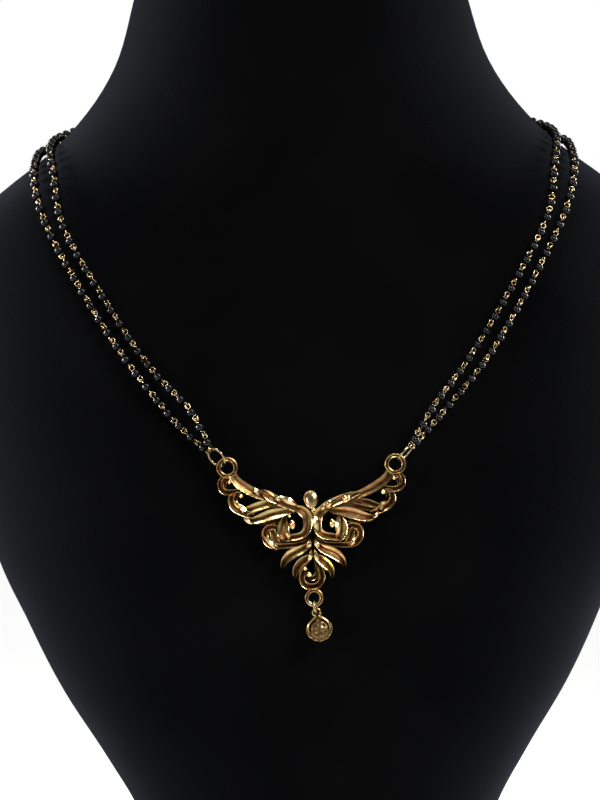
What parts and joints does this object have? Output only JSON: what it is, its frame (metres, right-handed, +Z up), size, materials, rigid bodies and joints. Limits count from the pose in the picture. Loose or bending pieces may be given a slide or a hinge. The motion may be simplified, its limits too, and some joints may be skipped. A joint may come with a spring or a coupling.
{
  "type": "mangalsutra necklace on a neck bust",
  "caption": "Mangalsutra necklace: paired strands of black beads on gold eye pins, an openwork gold pendant with a round drop, worn by a plain black neck bust.",
  "frame": {"origin": "middle of the flat base that the neck bust stands on", "axes": "+Z up through the neck, the chest and pendant face -Y, +X towards the right of the picture"},
  "size_m": [0.198, 0.109, 0.259],
  "materials": {
    "velvet": "short black velvet flock",
    "cast_gold": "cast and diamond-cut, gold plated",
    "wire_gold": "drawn wire, gold plated",
    "bead_glass": "fire-polished black glass"
  },
  "bodies": {
    "root": {"neck_bust": "velvet", "pendant": "cast_gold", "drop_ring": "wire_gold", "drop": "cast_gold", "clasp": "wire_gold", "left_jump_ring": "wire_gold", "right_jump_ring": "wire_gold", "left_end_ring": "wire_gold", "right_end_ring": "wire_gold", "left_inner_beads": "bead_glass", "left_outer_beads": "bead_glass", "right_inner_beads": "bead_glass", "right_outer_beads": "bead_glass", "left_inner_eye_pins": "wire_gold", "left_outer_eye_pins": "wire_gold", "right_inner_eye_pins": "wire_gold", "right_outer_eye_pins": "wire_gold", "left_inner_back_strand": "bead_glass", "left_outer_back_strand": "bead_glass", "right_inner_back_strand": "bead_glass", "right_outer_back_strand": "bead_glass"}
  },
  "joints": []
}
